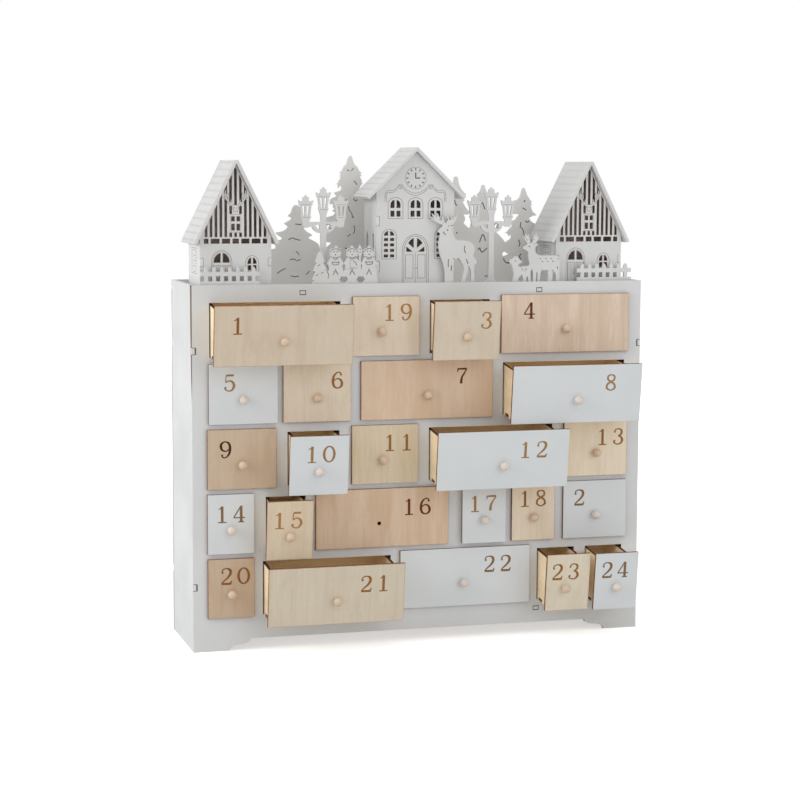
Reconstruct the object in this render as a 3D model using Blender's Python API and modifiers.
"""Wooden advent calendar: a plywood cabinet with 24 sliding drawers and a fretwork village on top.

Run in Blender: blender --background --python part.py
Metres, +Z up, the front faces -Y. The origin is on the floor, under the middle of the whole
outline with the drawers pulled out as they stand here.
"""
import math

import bmesh
import bpy
from mathutils import Matrix, Vector

# Cabinet
CABINET_WIDTH = 0.450
CABINET_DEPTH = 0.108
CABINET_HEIGHT = 0.3484
PANEL_PLY = 0.003        # front and back sheets
BOARD_PLY = 0.004        # sides, top and bottom
SHELF_PLY = 0.004
DIVIDER_PLY = 0.003
RIM_HEIGHT = 0.0059      # the panels rise past the top board
FOOT_HEIGHT = 0.0109     # height of the cut-away between the feet
FOOT_LENGTH = 0.0345     # a foot's flat part, from the panel's end
GAP = 0.0003             # between pieces that touch

# Rows of openings in the front panel, from the top
BOTTOM_BOARD_LIFT = 0.0231
ROW_EDGE = 0.0066        # from the first and last openings to the boards beyond
ROW_BAR = 0.0105         # between two rows
SIDE_MARGIN = 0.0168     # from the panel's end to the first opening
WIDE = 0.281 * CABINET_WIDTH
MEDIUM = 0.134 * CABINET_WIDTH
SNUG = 0.1128 * CABINET_WIDTH
SMALL = 0.0858 * CABINET_WIDTH
ROWS = (
    ((1, WIDE), (19, MEDIUM), (3, MEDIUM), (4, WIDE)),
    ((5, MEDIUM), (6, MEDIUM), (7, WIDE), (8, WIDE)),
    ((9, MEDIUM), (10, SNUG), (11, MEDIUM), (12, WIDE), (13, MEDIUM)),
    ((14, SMALL), (15, SMALL), (16, WIDE), (17, SMALL), (18, SMALL), (2, MEDIUM)),
    ((20, SMALL), (21, WIDE), (22, WIDE), (23, SMALL), (24, SMALL)),
)
# Openings that sit beside the even spacing of their row
SHIFT = {5: 0.0015, 6: -0.0015, 16: -0.0025, 17: 0.0018}

# Drawers
FRONT_PLY = 0.003
TRAY_PLY = 0.003
TRAY_SPACE_BEHIND = 0.024    # a closed tray stops this far from the back panel
TRAY_SIDE_PLAY = 0.0012
TRAY_TOP_PLAY = 0.0029
LAP_SIDE = 0.003             # a front reaches past its opening
LAP_BOTTOM = 0.0015
LAP_TOP = 0.0043
KNOB_RADIUS = 0.0047
KNOB_LENGTH = 0.0090
KNOB_STEM_RADIUS = 0.0024
KNOB_SIDES = 10
KNOB_RISE = 0.0217           # above the lower edge of the opening
SCREW_HOLE_RADIUS = 0.0019   # drawer 16 has lost its knob
WITHOUT_KNOB = 16
# How far the drawers stand open; the others are closed
PULL = {17: 0.003}
# Open drawers that hang down by their play
PULL_HANGING = {1: 0.0325, 3: 0.0255, 8: 0.032, 10: 0.0292, 12: 0.0325, 15: 0.025, 21: 0.0325, 23: 0.030, 24: 0.0335}
# Fronts and knobs that were glued beside the middle
FRONT_ASIDE = {3: -0.0025, 10: -0.003, 15: -0.003, 24: -0.0015}
KNOB_ASIDE = {11: -0.003, 16: -0.0035, 19: -0.005, 22: -0.0025, 23: -0.003}

# Tabs that show in the front and back panels
SIDE_TAB = 0.006
SIDE_TAB_HEIGHTS = (0.0624, 0.2868)
BOARD_TAB = 0.0055
BOARD_TAB_PLACE = 0.263      # from the middle, as a share of the width

# Village. Its outlines are drawn in millimetres on a cabinet 450 mm wide and grow with it.
VILLAGE_PLY = 0.003
VILLAGE_MM = CABINET_WIDTH / 450
FOOT_STRIP = 3.0             # joins the feet of a figure behind the rim
VILLAGE_TAB = 8.0
FIGURE_PLACE = 0.065         # middle of a flat figure behind the front, as a share of the depth
LAMP_PLACE = 0.176
FOREST_PLACE = 0.778
HOUSE_PLACE = 0.120          # front of the house walls
SMALL_HOUSE_DEPTH = 0.537    # walls, as a share of the depth
CLOCK_HOUSE_DEPTH = 0.417
ROOF_OVERHANG = 0.055

# Worked out from the above
HALF_WIDTH = CABINET_WIDTH / 2
DECK_Z = CABINET_HEIGHT - RIM_HEIGHT
INSIDE_BOTTOM = BOTTOM_BOARD_LIFT + BOARD_PLY
INSIDE_TOP = DECK_Z - BOARD_PLY
OPENING_HEIGHT = (INSIDE_TOP - INSIDE_BOTTOM - 2 * ROW_EDGE - (len(ROWS) - 1) * ROW_BAR) / len(ROWS)
ROW_PITCH = OPENING_HEIGHT + ROW_BAR
TRAY_HEIGHT = OPENING_HEIGHT - GAP - TRAY_TOP_PLAY
TRAY_LENGTH = CABINET_DEPTH - 2 * PANEL_PLY - TRAY_SPACE_BEHIND
# A drawer's play lets it tip until its back edge meets the board above, when it is pushed home as it hangs
TIP_ROOM = OPENING_HEIGHT + min(ROW_EDGE, ROW_BAR - SHELF_PLY) - 2 * GAP
TIP = math.asin(TIP_ROOM / math.hypot(TRAY_LENGTH, TRAY_HEIGHT)) - math.atan2(TRAY_HEIGHT, TRAY_LENGTH)
REACH = (max(PULL_HANGING.values()) + FRONT_PLY + KNOB_LENGTH) * math.cos(TIP) + KNOB_RISE * math.sin(TIP)
FRONT_Y = (REACH - CABINET_DEPTH) / 2
BACK_Y = FRONT_Y + CABINET_DEPTH

UPRIGHT = (math.pi / 2, 0, 0)                # an outline's x, y go to world X, Z
SIDEWAYS = (math.pi / 2, 0, math.pi / 2)     # an outline's x, y go to world Y, Z


def new_collection(name):
    """A fresh collection in the scene."""
    collection = bpy.data.collections.new(name)
    bpy.context.scene.collection.children.link(collection)
    return collection


def new_material(name, colour, roughness):
    """A plain wood or paint finish."""
    material = bpy.data.materials.new(name)
    material.use_nodes = True
    shader = material.node_tree.nodes["Principled BSDF"]
    shader.inputs["Base Color"].default_value = (*colour, 1)
    shader.inputs["Roughness"].default_value = roughness
    shader.inputs["Metallic"].default_value = 0
    material.diffuse_color = (*colour, 1)
    return material


def village_mm(points):
    """Points drawn in village millimetres, in metres."""
    return [(x * VILLAGE_MM, z * VILLAGE_MM) for x, z in points]


def mirrored(right_half):
    """A closed outline from its right half, listed from the top middle to the bottom middle."""
    left_half = [(-x, z) for x, z in reversed(right_half) if x > 0]
    return list(right_half) + left_half


def rectangle(x0, z0, x1, z1):
    """Corners of a rectangle."""
    return [(x0, z0), (x1, z0), (x1, z1), (x0, z1)]


def arc(x, z, radius_x, radius_z, start, end, steps):
    """Points on an ellipse, angles in degrees."""
    angles = [math.radians(start + (end - start) * i / steps) for i in range(steps + 1)]
    return [(x + radius_x * math.cos(a), z + radius_z * math.sin(a)) for a in angles]


def corners_only(outline):
    """The outline without doubled points and points on a straight run."""
    kept = [point for i, point in enumerate(outline) if math.dist(point, outline[i - 1]) > 1e-6]
    corners = []
    for i, (x, y) in enumerate(kept):
        (ax, ay), (bx, by) = kept[i - 1], kept[(i + 1) % len(kept)]
        if abs((x - ax) * (by - y) - (y - ay) * (bx - x)) > 1e-10:
            corners.append((x, y))
    return corners


def board(name, outlines, thickness, location, rotation, material, collection):
    """A flat board: the first outline is its edge, the others are holes through it."""
    curve = bpy.data.curves.new(name, "CURVE")
    curve.dimensions = "2D"
    curve.fill_mode = "BOTH"
    curve.extrude = thickness / 2
    for outline in map(corners_only, outlines):
        spline = curve.splines.new("POLY")
        spline.points.add(len(outline) - 1)
        for point, (x, y) in zip(spline.points, outline):
            point.co = (x, y, 0, 1)
        spline.use_cyclic_u = True
    curve.materials.append(material)
    piece = bpy.data.objects.new(name, curve)
    piece.location = location
    piece.rotation_euler = rotation
    collection.objects.link(piece)
    return piece


def block(name, low, high, origin, tip, material, collection):
    """A box between two corners, which are measured from its origin, tipped about X."""
    size = Vector(high) - Vector(low)
    middle = (Vector(high) + Vector(low)) / 2
    mesh = bpy.data.meshes.new(name)
    shape = bmesh.new()
    bmesh.ops.create_cube(shape, size=1, matrix=Matrix.Translation(middle) @ Matrix.Diagonal((*size, 1)))
    shape.to_mesh(mesh)
    shape.free()
    mesh.materials.append(material)
    piece = bpy.data.objects.new(name, mesh)
    piece.location = origin
    piece.rotation_euler = (tip, 0, 0)
    collection.objects.link(piece)
    return piece


def as_cutter(piece):
    """Hide a shape that only cuts or joins another."""
    piece.hide_render = True
    piece.display_type = "WIRE"
    return piece


def combine(target, tool, operation):
    """Join a shape to a piece or cut it away."""
    modifier = target.modifiers.new(tool.name, "BOOLEAN")
    modifier.operation = operation
    modifier.solver = "EXACT"
    modifier.object = tool


def openings_of(row):
    """Left and right edges of a row's openings, spread evenly between the margins."""
    total = sum(width for number, width in row)
    bar = (CABINET_WIDTH - 2 * SIDE_MARGIN - total) / (len(row) - 1)
    left = SIDE_MARGIN - HALF_WIDTH
    edges = []
    for number, width in row:
        shift = SHIFT.get(number, 0)
        edges.append((number, left + shift, left + width + shift))
        left += width + bar
    return edges


def row_floor(index):
    """Height of the lower edge of a row's openings; row 0 is the top one."""
    return INSIDE_TOP - ROW_EDGE - OPENING_HEIGHT - index * ROW_PITCH


def bars_of(row):
    """Middles and widths of the bars between a row's openings."""
    edges = openings_of(row)
    pairs = zip(edges[:-1], edges[1:])
    return [((left[2] + right[1]) / 2, right[1] - left[2]) for left, right in pairs]


def front_lap():
    """How far a front may reach past its opening without meeting its neighbour."""
    narrowest = min(width for row in ROWS for middle, width in bars_of(row))
    return min(LAP_SIDE, narrowest / 2 - GAP)


def sheet_outline():
    """Front or back sheet: feet below, notches for the side boards' tabs at its ends."""
    notch = BOARD_PLY + GAP
    inner = HALF_WIDTH - notch
    foot = HALF_WIDTH - FOOT_LENGTH
    curl = FOOT_HEIGHT / 3
    right = [(HALF_WIDTH, CABINET_HEIGHT)]
    for height in sorted(SIDE_TAB_HEIGHTS, reverse=True):
        low, high = height - SIDE_TAB / 2 - GAP, height + SIDE_TAB / 2 + GAP
        right += [(HALF_WIDTH, high), (inner, high), (inner, low), (HALF_WIDTH, low)]
    right += [(HALF_WIDTH, 0), (foot, 0)]
    right += arc(foot - 3 * curl, 0, 3 * curl, 1.55 * curl, 25, 90, 3)
    right += arc(foot - 3.4 * curl, 3.0 * curl, 2.4 * curl, 1.45 * curl, -90, -180, 3)[1:]
    right += [(foot - 6.4 * curl, FOOT_HEIGHT)]
    return mirrored(right)


def tab_slots():
    """Slots in the front and back sheets for the tabs of the top and bottom boards."""
    slots = []
    for low in (BOTTOM_BOARD_LIFT, INSIDE_TOP):
        for side in (-1, 1):
            x = side * BOARD_TAB_PLACE * CABINET_WIDTH
            half = BOARD_TAB / 2 + GAP
            slots.append(rectangle(x - half, low - GAP, x + half, low + BOARD_PLY + GAP))
    return slots


def make_front_panel(paint, parts):
    """Front sheet with an opening for each drawer."""
    outlines = [sheet_outline()] + tab_slots()
    for index, row in enumerate(ROWS):
        low = row_floor(index)
        for number, left, right in openings_of(row):
            outlines.append(rectangle(left, low, right, low + OPENING_HEIGHT))
    board("front_panel", outlines, PANEL_PLY, (0, FRONT_Y + PANEL_PLY / 2, 0), UPRIGHT, paint, parts)


def make_back_panel(paint, parts):
    """Closed back sheet."""
    outlines = [sheet_outline()] + tab_slots()
    board("back_panel", outlines, PANEL_PLY, (0, BACK_Y - PANEL_PLY / 2, 0), UPRIGHT, paint, parts)


def make_side(name, side, paint, parts):
    """Side board whose tabs end flush in the front and back sheets."""
    edge = CABINET_DEPTH / 2 - PANEL_PLY - GAP
    right = [(0, CABINET_HEIGHT), (edge, CABINET_HEIGHT)]
    for height in sorted(SIDE_TAB_HEIGHTS, reverse=True):
        low, high = height - SIDE_TAB / 2, height + SIDE_TAB / 2
        right += [(edge, high), (CABINET_DEPTH / 2, high), (CABINET_DEPTH / 2, low), (edge, low)]
    right += [(edge, 0), (0, 0)]
    outline = [(y, z) for y, z in mirrored(right) if y != 0]
    place = (side * (HALF_WIDTH - BOARD_PLY / 2), (FRONT_Y + BACK_Y) / 2, 0)
    board(name, [outline], BOARD_PLY, place, SIDEWAYS, paint, parts)


def make_level_board(name, low, slots, material, parts):
    """Top or bottom board: it lies between the sides, with tabs through the front and back sheets."""
    edge_x = HALF_WIDTH - BOARD_PLY - GAP
    edge_y = CABINET_DEPTH / 2 - PANEL_PLY - GAP
    tab_x = BOARD_TAB_PLACE * CABINET_WIDTH
    half = BOARD_TAB / 2
    corner = [(tab_x + half, CABINET_DEPTH / 2), (tab_x + half, edge_y), (edge_x, edge_y)]
    back_right = [(tab_x - half, edge_y), (tab_x - half, CABINET_DEPTH / 2)] + corner
    front_right = [(x, -y) for x, y in reversed(back_right)]
    right = back_right + front_right
    outline = right + [(-x, y) for x, y in reversed(right)]
    place = (0, (FRONT_Y + BACK_Y) / 2, low + BOARD_PLY / 2)
    holes = [[(x, y - place[1]) for x, y in slot] for slot in slots]
    board(name, [outline] + holes, BOARD_PLY, place, (0, 0, 0), material, parts)


def make_shelf(index, wood, parts):
    """Shelf of a row with the dividers that stand on it and carry the next shelf."""
    low = row_floor(index)
    edge = HALF_WIDTH - BOARD_PLY - GAP
    if index == 0:
        top = INSIDE_TOP - GAP
    else:
        top = row_floor(index - 1) - SHELF_PLY - GAP
    lowest = index == len(ROWS) - 1
    half = DIVIDER_PLY / 2
    upper = [(-edge, low)]
    for middle, width in bars_of(ROWS[index]):
        upper += [(middle - half, low), (middle - half, top), (middle + half, top), (middle + half, low)]
    upper += [(edge, low)]
    lower = [(edge, low - SHELF_PLY)]
    if lowest:
        for middle, width in reversed(bars_of(ROWS[index])):
            foot = INSIDE_BOTTOM + GAP
            lower += [(middle + half, low - SHELF_PLY), (middle + half, foot)]
            lower += [(middle - half, foot), (middle - half, low - SHELF_PLY)]
    lower += [(-edge, low - SHELF_PLY)]
    depth = CABINET_DEPTH - 2 * (PANEL_PLY + GAP)
    place = (0, (FRONT_Y + BACK_Y) / 2, 0)
    board(f"shelf_{index + 1}", [upper + lower], depth, place, UPRIGHT, wood, parts)


def knob_profile():
    """Half outline of a turned bead on a short stem, from its tip to the stem's glued end."""
    centre = KNOB_LENGTH - KNOB_RADIUS
    bead = arc(0, centre, KNOB_RADIUS, KNOB_RADIUS, 90, -50, 5)
    return bead + [(KNOB_STEM_RADIUS, 0.1 * KNOB_LENGTH), (KNOB_STEM_RADIUS, -FRONT_PLY / 2), (0, -FRONT_PLY / 2)]


def make_knob(name, origin, tip, wood, cutters):
    """Turned knob that points out of a drawer's front."""
    profile = knob_profile()
    mesh = bpy.data.meshes.new(name)
    points = [(max(radius, 0), 0, height) for radius, height in profile]
    mesh.from_pydata(points, [(i, i + 1) for i in range(len(points) - 1)], [])
    mesh.materials.append(wood)
    knob = bpy.data.objects.new(name, mesh)
    knob.location = origin
    knob.rotation_euler = (math.pi / 2 + tip, 0, 0)
    cutters.objects.link(knob)
    turning = knob.modifiers.new("turning", "SCREW")
    turning.steps = KNOB_SIDES
    turning.render_steps = KNOB_SIDES
    turning.use_merge_vertices = True
    turning.merge_threshold = 0.00001
    return as_cutter(knob)


def make_screw_hole(name, origin, tip, wood, cutters):
    """Round cutter through a front that has lost its knob."""
    mesh = bpy.data.meshes.new(name)
    shape = bmesh.new()
    depth = 4 * (FRONT_PLY + TRAY_PLY)
    bmesh.ops.create_cone(
        shape, cap_ends=True, segments=12, radius1=SCREW_HOLE_RADIUS, radius2=SCREW_HOLE_RADIUS, depth=depth
    )
    shape.to_mesh(mesh)
    shape.free()
    mesh.materials.append(wood)
    drill = bpy.data.objects.new(name, mesh)
    drill.location = origin
    drill.rotation_euler = (math.pi / 2 + tip, 0, 0)
    cutters.objects.link(drill)
    return as_cutter(drill)


def make_drawer(number, left, right, low, material, wood, parts, cutters):
    """Front board, tray and knob of one drawer; its origin is on the front, at the knob's height."""
    name = f"drawer_{number:02d}"
    lap = front_lap()
    aside = FRONT_ASIDE.get(number, 0)
    half_front = (right - left) / 2 + lap
    half_tray = (right - left) / 2 - TRAY_SIDE_PLAY
    tip = TIP if number in PULL_HANGING else 0
    pull = PULL_HANGING.get(number, PULL.get(number, 0) + GAP)
    # The drawer tips and slides on the front edge of its opening
    edge = Vector(((left + right) / 2, FRONT_Y, low))
    origin = edge - Matrix.Rotation(tip, 3, "X") @ Vector((0, FRONT_PLY + pull, -KNOB_RISE))
    front_low = -KNOB_RISE - LAP_BOTTOM
    front_high = OPENING_HEIGHT + LAP_TOP - KNOB_RISE
    tray_low = GAP - KNOB_RISE
    tray_high = tray_low + TRAY_HEIGHT
    front = block(
        name,
        (aside - half_front, 0, front_low),
        (aside + half_front, FRONT_PLY, front_high),
        origin, tip, material, parts,
    )
    tray = block(
        name + "_tray",
        (-half_tray, FRONT_PLY / 2, tray_low),
        (half_tray, FRONT_PLY + TRAY_LENGTH, tray_high),
        origin, tip, wood, cutters,
    )
    hollow = block(
        name + "_hollow",
        (TRAY_PLY - half_tray, FRONT_PLY + TRAY_PLY, tray_low + TRAY_PLY),
        (half_tray - TRAY_PLY, FRONT_PLY + TRAY_LENGTH - TRAY_PLY, tray_high + TRAY_PLY),
        origin, tip, wood, cutters,
    )
    combine(as_cutter(tray), as_cutter(hollow), "DIFFERENCE")
    combine(front, tray, "UNION")
    foot = origin + Vector((aside + KNOB_ASIDE.get(number, 0), 0, 0))
    if number == WITHOUT_KNOB:
        combine(front, make_screw_hole(name + "_hole", foot, tip, wood, cutters), "DIFFERENCE")
    else:
        combine(front, make_knob(name + "_knob", foot, tip, wood, cutters), "UNION")


def standing_outline(figure, tabs):
    """Close a figure's outline along the deck, with tabs that reach through the top board.

    The figure runs from its left foot to its right foot, in village millimetres.
    """
    thick = BOARD_PLY / VILLAGE_MM
    left, right = figure[0][0], figure[-1][0]
    base = [(right, 0)]
    for tab in sorted(tabs, reverse=True):
        high, low = tab + VILLAGE_TAB / 2, tab - VILLAGE_TAB / 2
        base += [(high, 0), (high, -thick), (low, -thick), (low, 0)]
    base += [(left, 0)]
    return village_mm(figure + base)


def deck_slot(x, y, tab):
    """Slot in the top board under a tab."""
    half = VILLAGE_TAB * VILLAGE_MM / 2 + GAP
    deep = VILLAGE_PLY / 2 + GAP
    middle = (x + tab) * VILLAGE_MM
    return rectangle(middle - half, y - deep, middle + half, y + deep)


def make_figure(name, x, place, figure, holes, tabs, material, parts):
    """A flat figure that stands on the deck; gives back the slots that it needs."""
    y = FRONT_Y + place * CABINET_DEPTH
    outlines = [standing_outline(figure, tabs)] + [village_mm(hole) for hole in holes]
    board(name, outlines, VILLAGE_PLY, (x * VILLAGE_MM, y, DECK_Z + GAP), UPRIGHT, material, parts)
    return [deck_slot(x, y, tab) for tab in tabs]


def bough(reach, tip, above):
    """A drooping bough on a tree's right flank: its shoulder, its hooked tip and the notch under it."""
    inner, height = above
    shoulder = (inner + 0.72 * (reach - inner), tip + 0.30 * (height - tip))
    return [shoulder, (reach, tip), (reach - 0.30 * (reach - inner) - 1.2, tip - 1.6)]


def tree_flank(top, boughs):
    """Right flank of a fir from its tip down; boughs are pairs of reach and height of the tip."""
    flank = [(0, top), (1.9, top - 1.3), (2.9, top - 5.0)]
    for reach, tip in boughs:
        flank += bough(reach, tip, flank[-1])
    return flank


def left_flank(x, top, boughs):
    """Left flank of a tree at x, from its lowest bough up to its tip."""
    return [(x - reach, height) for reach, height in reversed(tree_flank(top, boughs))]


def right_flank(x, top, boughs):
    """Right flank of a tree at x, from below its tip down to its lowest bough."""
    return [(x + reach, height) for reach, height in tree_flank(top, boughs)[1:]]


def make_forest_left(paint, parts):
    """Low fir and tall fir cut from one board."""
    low_x, tall_x = -54.0, 0.0
    figure = [(-89.0, 3.0), (-87.0, 8.0)]
    figure += left_flank(low_x, 78.3, [(8.2, 68.1), (11.6, 60.3), (19.8, 52.0), (27.0, 35.0)])
    figure += right_flank(low_x, 78.3, [(8.9, 68.5), (15.4, 48.4), (22.5, 36.0)])
    figure += left_flank(tall_x, 127.1, [(10.4, 107.2), (14.0, 99.3), (20.2, 81.7), (24.6, 44.0)])
    figure += right_flank(tall_x, 127.1, [(12.5, 109.2), (13.8, 100.0), (19.5, 80.0), (25.0, 46.0), (30.0, 15.0)])
    figure += [(29.0, 3.0)]
    return make_figure("forest_left", -50.7, FOREST_PLACE, figure, [], (-60.0, 0.0), paint, parts)


def make_forest_right(paint, parts):
    """Three firs cut from one board, with a small slit between two of them."""
    first, second, third = -28.8, 0.0, 42.6
    figure = [(-52.0, 3.0), (-50.0, 10.0)]
    figure += left_flank(first, 107.0, [(9.0, 88.0), (13.0, 74.0), (17.0, 52.0), (20.0, 28.0)])
    figure += right_flank(first, 107.0, [(11.0, 88.6), (12.8, 74.6), (14.9, 60.0)])
    figure += left_flank(second, 97.3, [(6.2, 84.0), (9.5, 72.0), (12.6, 61.0)])
    figure += right_flank(second, 97.3, [(5.6, 84.0), (9.0, 68.0), (15.0, 50.5)])
    figure += [(23.4, 41.4)]
    figure += left_flank(third, 95.8, [(10.0, 81.5), (12.6, 66.0), (16.4, 51.0)])
    figure += right_flank(third, 95.8, [(9.2, 82.0), (14.7, 67.5), (20.0, 56.0), (30.0, 40.0), (32.0, 18.0)])
    figure += [(73.0, 3.0)]
    slit = [(20.4, 27.6), (26.6, 28.6), (22.4, 29.2), (26.0, 31.6), (20.6, 31.0)]
    return make_figure("forest_right", 87.9, FOREST_PLACE, figure, [slit], (-28.0, 45.0), paint, parts)


def lantern(x, foot, top):
    """Silhouette of a lantern from its lower left to its lower right, with a crowned roof."""
    roof = top - 4.6
    half = [(0, top), (1.3, top - 1.8), (3.0, top - 2.6), (3.2, top - 4.2)]
    half += [(7.6, roof), (6.5, roof - 2.4), (6.5, roof - 4.9), (5.3, foot + 3.6), (3.4, foot)]
    return [(x - dx, z) for dx, z in reversed(half)] + [(x + dx, z) for dx, z in half[1:]]


def lantern_panes(x, foot, top):
    """Two tall slots in a lantern."""
    low, high = foot + 4.6, top - 10.2
    return [rectangle(x + s * 2.2 - 0.85, low, x + s * 2.2 + 0.85, high) for s in (-1, 1)]


def make_lamp(name, x, paint, parts):
    """Street lamp with a middle lantern above two side lanterns on a scrolled arm."""
    reach, post = 17.2, 2.8
    arm_low, arm_high = 58.7, 63.9
    top, side_top = 97.1, 89.2
    foot, side_foot = 74.6, 66.0
    side = [(reach + dx, z) for dx, z in [(-3.4, arm_high)]]
    side += lantern(reach, side_foot, side_top)
    side += [(reach + 3.4, arm_high), (reach + 3.0, arm_low)]
    scroll = arc(post, arm_low, 8.6, 6.4, 0, -70, 4)
    crown = [point for point in lantern(0, foot, top) if point[0] >= 0]
    base = [(post, 9.0), (4.4, 7.6), (5.0, 5.0), (8.0, 4.2), (8.0, 3.0)]
    right = crown + [(post, foot - 1.5), (post, arm_high)] + side + scroll + [(post, 51.5)] + base
    figure = [(-dx, z) for dx, z in reversed(right) if dx > 0] + right
    holes = lantern_panes(0, foot, top)
    for s in (-1, 1):
        holes += lantern_panes(s * reach, side_foot, side_top)
        eye = arc(post + 1.4, arm_low - 0.6, 4.6, 3.4, 0, -90, 4) + [(post + 1.4, arm_low - 0.6)]
        holes.append([(s * dx, z) for dx, z in eye])
    return make_figure(name, x, LAMP_PLACE, figure, holes, (0.0,), paint, parts)


def child(x):
    """Silhouette of a singing child from hem to hem."""
    half = [(7.2, 18.8), (5.9, 26.3), (5.2, 29.6), (3.0, 31.0)]
    head = arc(x, 35.1, 4.5, 4.5, 225, -45, 8)
    return [(x - dx, z) for dx, z in half] + head + [(x + dx, z) for dx, z in reversed(half)]


def make_carolers(paint, parts):
    """Three singing children and a small fir on one strip, one of them with a lantern staff."""
    children = (-9.2, 7.1, 23.8)
    staff = 14.95
    figure = [(-32.0, 3.0), (-31.2, 7.0)]
    figure += left_flank(-24.2, 36.0, [(4.6, 26.5), (6.6, 18.0), (7.6, 9.5)])
    figure += right_flank(-24.2, 36.0, [(4.6, 27.0), (6.6, 19.4)])
    figure += child(children[0]) + [(-1.1, 17.0)]
    figure += child(children[1])[:-3] + [(13.2, 25.0), (13.6, 22.4)]
    figure += [(staff - 0.7, 31.5), (staff - 2.1, 34.0), (staff - 2.1, 38.0), (staff, 42.3)]
    figure += [(staff + 2.1, 38.0), (staff + 2.1, 34.0), (staff + 0.7, 31.5), (staff + 1.0, 18.0)]
    figure += child(children[2])[1:]
    figure += [(32.4, 9.0), (32.8, 3.0)]
    holes = []
    for x in children:
        holes.append([(x - 2.9, 14.0), (x, 20.0), (x + 2.9, 14.0), (x + 1.9, 13.6), (x, 17.2), (x - 1.9, 13.6)])
    for x in (-1.0, 15.6):
        holes.append(arc(x, 9.4, 4.4, 3.4, 0, 300, 5))
    return make_figure("carolers", -75.9, FIGURE_PLACE, figure, holes, (-20.0, 18.0), paint, parts)


def make_buck(paint, parts):
    """Standing buck with raised antlers, looking left."""
    chest = [(-9.8, 3.0), (-10.2, 16.5), (-12.0, 24.2), (-14.7, 30.5), (-16.4, 37.8), (-16.7, 43.5), (-15.0, 52.6)]
    face = [(-17.1, 54.0), (-16.7, 55.9), (-13.6, 58.4), (-12.4, 60.5)]
    left_antler = [
        (-16.2, 62.1), (-20.5, 64.0), (-24.6, 67.5), (-21.3, 66.9), (-23.8, 72.1), (-19.1, 67.9),
        (-18.1, 72.1), (-15.8, 66.3), (-13.4, 65.0), (-13.6, 70.0), (-11.2, 64.2), (-9.5, 61.9),
    ]
    right_antler = [
        (-8.3, 64.2), (-8.5, 69.6), (-5.9, 65.2), (-4.3, 69.4), (-3.0, 65.4),
        (1.4, 69.4), (0.0, 64.4), (-3.5, 61.1), (-5.1, 59.4),
    ]
    neck = [(-1.4, 59.6), (-3.9, 56.5), (-2.4, 53.2), (-0.8, 48.2), (2.0, 45.9)]
    rump = [(11.2, 45.6), (16.8, 43.5), (19.3, 39.7), (19.6, 34.9), (18.1, 30.5)]
    tail = [(20.1, 27.6), (22.3, 25.0), (20.3, 22.5), (19.1, 21.0), (19.5, 12.7), (19.5, 3.0)]
    figure = chest + face + left_antler + right_antler + neck + rump + tail
    belly = [(-1.8, 3.2), (-1.8, 21.4), (-1.0, 27.3), (4.7, 27.5), (8.3, 21.4), (8.9, 17.0), (6.9, 8.8), (5.3, 3.2)]
    hind_legs = [(10.2, 3.2), (11.0, 8.8), (13.1, 17.0), (13.8, 21.7), (16.1, 15.6), (16.1, 3.2)]
    return make_figure("buck", 34.1, FIGURE_PLACE, figure, [belly, hind_legs], (-4.0, 14.0), paint, parts)


def make_doe_and_fawn(paint, parts):
    """Doe with a fawn in front of her, both looking left."""
    fawn = [
        (-23.4, 2.6), (-22.4, 7.9), (-21.5, 12.8), (-23.0, 18.7), (-24.5, 22.2), (-26.5, 24.5), (-25.7, 26.5),
        (-22.6, 27.9), (-20.9, 30.0), (-18.4, 30.0), (-16.9, 27.7), (-13.4, 24.2), (-17.1, 22.6),
        (-17.6, 20.8), (-15.5, 19.5), (-11.5, 20.4), (-6.9, 20.4), (-5.4, 21.8),
    ]
    face = [(-6.1, 25.5), (-7.1, 29.9), (-6.8, 33.8), (-9.4, 35.9), (-12.1, 37.4), (-11.7, 39.2), (-8.6, 41.0)]
    left_antler = [(-7.7, 42.5), (-9.8, 44.5), (-12.1, 48.4), (-9.8, 47.4), (-10.7, 52.5), (-8.2, 49.2), (-7.1, 51.9)]
    right_antler = [
        (-6.1, 46.6), (-4.8, 43.3), (-2.9, 43.3), (-2.1, 46.4), (-1.5, 50.5), (-0.2, 48.6),
        (1.0, 52.7), (1.7, 48.4), (3.6, 49.2), (2.7, 45.5), (0.2, 42.7),
    ]
    back = [(3.3, 41.7), (0.4, 39.2), (-0.2, 36.9), (0.4, 33.7), (2.5, 31.4), (6.9, 30.6), (22.4, 30.6)]
    rump = [(25.1, 28.8), (25.7, 24.5), (25.1, 14.8), (25.5, 2.6)]
    figure = fawn + face + left_antler + right_antler + back + rump
    holes = [
        [(-17.6, 2.9), (-17.1, 8.9), (-13.8, 12.2), (-12.3, 8.7), (-12.7, 2.9)],
        [(-9.4, 2.9), (-9.0, 9.9), (-7.5, 9.9), (-6.5, 2.9)],
        [(-4.0, 2.9), (-4.8, 14.4), (-3.6, 17.5), (-2.1, 15.2), (-2.1, 2.9)],
        [(0.7, 2.9), (1.4, 14.0), (2.6, 14.0), (2.2, 2.9)],
        [(4.8, 2.9), (5.4, 12.2), (6.5, 16.1), (12.7, 16.1), (13.8, 11.8), (13.2, 2.9)],
        [(17.1, 2.9), (18.4, 14.8), (20.3, 14.4), (21.9, 11.3), (21.5, 2.9)],
    ]
    return make_figure("doe_and_fawn", 115.9, FIGURE_PLACE, figure, holes, (-15.0, 15.0), paint, parts)


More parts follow.
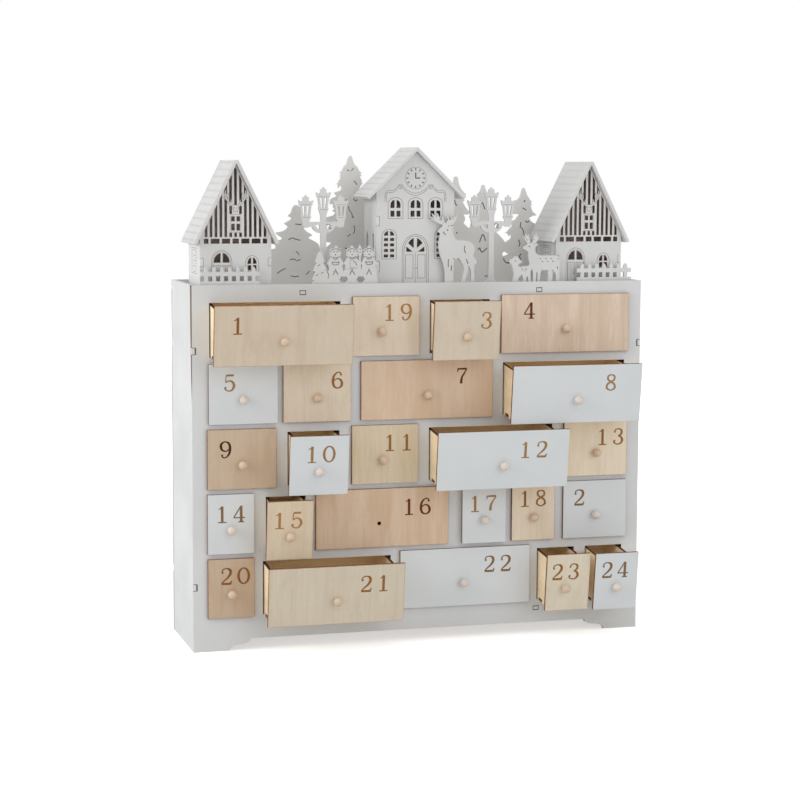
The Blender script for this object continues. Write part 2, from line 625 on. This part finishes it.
def make_fence(name, x, length, pickets, paint, parts):
    """Picket fence: pointed pickets on two rails."""
    pitch, half = 7.55, 1.75
    low_rail, rail_low, rail_high, shoulder, tip = 8.9, 13.6, 17.7, 20.4, 22.5
    first = -pitch * (pickets - 1) / 2
    middles = [first + pitch * i for i in range(pickets)]
    end = length / 2
    figure = [(-end, 3.0), (-end, low_rail), (middles[0] - half, low_rail), (middles[0] - half, rail_low)]
    figure += [(-end, rail_low), (-end, rail_high)]
    for middle in middles:
        figure += [(middle - half, rail_high), (middle - half, shoulder), (middle, tip)]
        figure += [(middle + half, shoulder), (middle + half, rail_high)]
    figure += [(end, rail_high), (end, rail_low), (middles[-1] + half, rail_low)]
    figure += [(middles[-1] + half, low_rail), (end, low_rail), (end, 3.0)]
    pairs = zip(middles[:-1], middles[1:])
    holes = [rectangle(left + half, low_rail, right - half, rail_low) for left, right in pairs]
    return make_figure(name, x, FIGURE_PLACE, figure, holes, (middles[1], middles[-2]), paint, parts)


class House:
    """Sizes of a house in village millimetres, above the deck."""

    def __init__(self, name, x, half_width, ridge, rise, span, ridge_flat, depth, joints):
        self.name = name
        self.x = x
        self.half_width = half_width
        self.ridge = ridge              # height of the roof's outer peak, drawn to a point
        self.rise = rise                # roof slope
        self.span = span                # half width over the eaves
        self.ridge_flat = ridge_flat    # half width of the blunt ridge
        self.depth = depth              # walls, as a share of the cabinet's depth
        self.joints = joints            # low and high ends of the side walls' tabs

    def ply(self):
        """Thickness of a wall in village millimetres."""
        return VILLAGE_PLY / VILLAGE_MM

    def gap(self):
        """Gap in village millimetres."""
        return GAP / VILLAGE_MM

    def slant(self):
        """Vertical thickness of the sloping roof for one unit of ply."""
        return math.hypot(1, self.rise)

    def under_roof(self, x):
        """Height of the walls' slope, a gap under the roof's inner face."""
        return self.ridge - (self.ply() + self.gap()) * self.slant() - self.rise * abs(x)

    def front_y(self):
        """Outer face of the front wall."""
        return FRONT_Y + HOUSE_PLACE * CABINET_DEPTH

    def back_y(self):
        """Outer face of the back wall."""
        return self.front_y() + self.depth * CABINET_DEPTH


def gable_outline(house):
    """Wall with a gable and notches for the side walls' tabs, in village millimetres."""
    edge = house.half_width
    inner = edge - house.ply() - house.gap()
    right = [(edge, house.under_roof(edge))]
    for low, high in sorted(house.joints, reverse=True):
        low, high = low - house.gap(), high + house.gap()
        right += [(edge, high), (inner, high), (inner, low), (edge, low)]
    right += [(edge, 3.0)]
    left = [(-x, z) for x, z in reversed(right)]
    return left + [(0, house.under_roof(0))] + right


def make_gables(house, panes, paint, parts):
    """Front wall with its windows and door, and a plain back wall."""
    tabs = (-0.5 * house.half_width, 0.5 * house.half_width)
    slots = []
    walls = (("front_wall", house.front_y() + VILLAGE_PLY / 2, panes), ("back_wall", house.back_y() - VILLAGE_PLY / 2, []))
    for wall, y, holes in walls:
        place = (y - FRONT_Y) / CABINET_DEPTH
        name = f"{house.name}_{wall}"
        slots += make_figure(name, house.x, place, gable_outline(house), holes, tabs, paint, parts)
    return slots


def make_side_walls(house, windows, paint, parts):
    """Side walls between the gables, with tabs through their notches."""
    front, back = house.front_y(), house.back_y()
    half = (back - front) / 2
    inner = half - VILLAGE_PLY - GAP
    top = house.under_roof(house.half_width) * VILLAGE_MM - GAP
    right = [(inner, top)]
    for low, high in sorted(house.joints, reverse=True):
        low, high = low * VILLAGE_MM, high * VILLAGE_MM
        right += [(inner, high), (half, high), (half, low), (inner, low)]
    right += [(inner, 0)]
    outline = right + [(-y, z) for y, z in reversed(right)]
    for side, label in ((-1, "left"), (1, "right")):
        x = (house.x + side * house.half_width) * VILLAGE_MM - side * VILLAGE_PLY / 2
        place = (x, (front + back) / 2, DECK_Z + GAP)
        name = f"{house.name}_{label}_wall"
        board(name, [outline] + windows, VILLAGE_PLY, place, SIDEWAYS, paint, parts)


def make_roof(house, paint, parts):
    """Two roof boards that meet at the ridge."""
    drop = house.ply() * house.slant()
    across = house.ply() * house.rise / house.slant()
    along = house.ply() / house.slant()
    tip = house.ridge - house.rise * house.span
    flat = house.ridge_flat
    right = [(flat, house.ridge - house.rise * flat), (house.span, tip), (house.span - across, tip - along)]
    inside = [(0, house.ridge - drop)]
    left = [(-x, z) for x, z in reversed(right)]
    outline = right + inside + left
    overhang = ROOF_OVERHANG * CABINET_DEPTH
    low, high = house.front_y() - overhang, house.back_y() + overhang
    place = (house.x * VILLAGE_MM, (low + high) / 2, DECK_Z + GAP)
    board(house.name + "_roof", [village_mm(outline)], high - low, place, UPRIGHT, paint, parts)


def arched_pair(x, low, spring, half, mullion, rise):
    """Two panes under one arch, left and right of a mullion."""
    start = math.degrees(math.acos(mullion / half))
    pane = [(mullion, low), (half, low)]
    if spring > low:
        pane.append((half, spring))
    pane += arc(0, spring, half, rise, 0, start, 3)[1:]
    return [[(x + s * dx, z) for dx, z in pane] for s in (-1, 1)]


def pane_pair(x, low, high, half, mullion):
    """Two square panes left and right of a mullion."""
    return [rectangle(x + min(a, b), low, x + max(a, b), high) for a, b in ((-half, -mullion), (mullion, half))]


def attic_slits(house):
    """Slits between the gable's upright bars, cut short round the attic window and the head above it."""
    pitch, half, sill, margin = 4.7, 1.25, 50.0, 3.0
    slits = []
    for index in range(-6, 7):
        x = index * pitch
        peak = house.under_roof(0) - margin
        inner = house.rise * abs(abs(x) - half)
        outer = house.rise * (abs(x) + half)
        if index == 0:
            tops = [(half, peak - house.rise * half), (0, peak), (-half, peak - house.rise * half)]
        else:
            sides = ((half, inner), (-half, outer)) if index < 0 else ((half, outer), (-half, inner))
            tops = [(dx, peak - drop) for dx, drop in sides]
        spans = {0: (sill, 54.0, 79.5), 1: (sill, 54.0, 71.6, 79.0, 82.5), 2: (sill, 85.0, 90.5)}.get(abs(index), (sill,))
        for low, high in zip(spans[:-1:2], spans[1::2]):
            slits.append(rectangle(x - half, low, x + half, high))
        slits.append([(x - half, spans[-1]), (x + half, spans[-1])] + [(x + dx, z) for dx, z in tops])
    return slits


def small_house_panes(house):
    """Openings in a small house's front wall."""
    panes = attic_slits(house)
    for low, high in ((56.1, 62.3), (64.7, 69.3)):
        panes += pane_pair(0, low, high, 4.2, 0.9)
    row = ((-32.8, -26.0), (-23.8, -15.4), (-13.2, -5.4), (-3.0, 3.0), (5.4, 13.2), (15.4, 23.8), (26.0, 32.8))
    for left, right in row:
        trim = 2.6 if abs(left + right) > 56 else 0
        left, right = max(left, trim - 32.8), min(right, 32.8 - trim)
        panes.append(rectangle(left, 43.8, right, 48.4))
    panes += arched_pair(-13.5, 26.0, 26.0, 7.8, 1.0, 9.3)
    panes += arched_pair(15.6, 24.7, 24.7, 4.5, 0.9, 6.1)
    panes += pane_pair(15.6, 18.8, 23.3, 4.2, 0.9)
    return panes


def clock_house_panes():
    """Openings in the clock house's front wall."""
    panes = []
    for x in (-20.0, 0.0, 20.0):
        panes += pane_pair(x, 68.6, 74.3, 5.0, 1.0)
        panes += arched_pair(x, 76.9, 80.6, 5.0, 1.0, 4.2)
    for x in (-26.3, 26.3):
        for low in (29.7, 34.9, 40.2, 45.3):
            panes += pane_pair(x, low, low + 2.9, 5.1, 1.0)
        panes += arched_pair(x, 50.5, 50.9, 5.1, 1.0, 4.2)
    fan = 35.0
    for s in (-1, 1):
        panes.append([(s * 9.2, fan), (s * 9.0, fan + 5.0), (s * 2.6, fan)])
        rays = arc(0, fan, 9.2, 13.2, 38, 80, 3) + [(1.6, fan + 3.4)]
        panes.append([(s * dx, z) for dx, z in rays])
    return panes


def lancet_windows():
    """Two narrow pointed windows in a side wall of the clock house."""
    windows = []
    for middle in (-11.0, 11.0):
        shape = [(-3.2, 29.7), (3.2, 29.7), (3.2, 50.0), (0.0, 55.0), (-3.2, 50.0)]
        windows.append([((middle + dy) * VILLAGE_MM, z * VILLAGE_MM) for dy, z in shape])
    return windows


def make_village(paint, shade, parts):
    """Everything that stands on the deck; gives back the slots in the top board."""
    small = dict(half_width=34.2, ridge=125.5, rise=1.99, span=40.9, ridge_flat=1.8, depth=SMALL_HOUSE_DEPTH)
    houses = (
        House("left_house", x=-180.0, joints=((22.6, 30.0),), **small),
        House("right_house", x=174.0, joints=((22.6, 30.0),), **small),
    )
    slots = []
    for house in houses:
        slots += make_gables(house, small_house_panes(house), paint, parts)
        make_side_walls(house, [], paint, parts)
        make_roof(house, paint, parts)
    clock_house = House(
        "clock_house", x=-4.0, half_width=39.0, ridge=135.5, rise=0.97, span=49.3, ridge_flat=0.6,
        depth=CLOCK_HOUSE_DEPTH, joints=((16.0, 25.6), (60.0, 68.6)),
    )
    slots += make_gables(clock_house, clock_house_panes(), paint, parts)
    make_side_walls(clock_house, lancet_windows(), paint, parts)
    make_roof(clock_house, paint, parts)
    slots += make_forest_left(shade, parts)
    slots += make_forest_right(shade, parts)
    slots += make_lamp("lamp_left", -93.2, paint, parts)
    slots += make_lamp("lamp_right", 75.3, paint, parts)
    slots += make_carolers(paint, parts)
    slots += make_buck(paint, parts)
    slots += make_doe_and_fawn(paint, parts)
    slots += make_fence("fence_left", -187.0, 57.0, 7, paint, parts)
    slots += make_fence("fence_right", 188.0, 56.5, 7, paint, parts)
    return slots


def main():
    """Build the calendar."""
    for old in list(bpy.data.objects):
        bpy.data.objects.remove(old)
    parts = new_collection("advent_calendar")
    cutters = new_collection("cutters")
    paint = new_material("white_paint", (0.60, 0.61, 0.61), 0.6)
    shade = new_material("grey_paint", (0.45, 0.44, 0.42), 0.6)
    birch = new_material("pale_birch", (0.62, 0.49, 0.33), 0.55)
    warm = new_material("warm_birch", (0.58, 0.40, 0.26), 0.55)

    make_front_panel(paint, parts)
    make_back_panel(paint, parts)
    make_side("left_side", -1, paint, parts)
    make_side("right_side", 1, paint, parts)
    slots = make_village(paint, shade, parts)
    make_level_board("top_board", INSIDE_TOP, slots, paint, parts)
    make_level_board("bottom_board", BOTTOM_BOARD_LIFT, [], birch, parts)
    for index in range(len(ROWS)):
        make_shelf(index, birch, parts)

    white_fronts = (2, 5, 8, 10, 12, 14, 17, 22, 24)
    warm_fronts = (4, 7, 9, 16, 20)
    for index, row in enumerate(ROWS):
        for number, left, right in openings_of(row):
            front = paint if number in white_fronts else warm if number in warm_fronts else birch
            make_drawer(number, left, right, row_floor(index), front, birch, parts, cutters)


main()
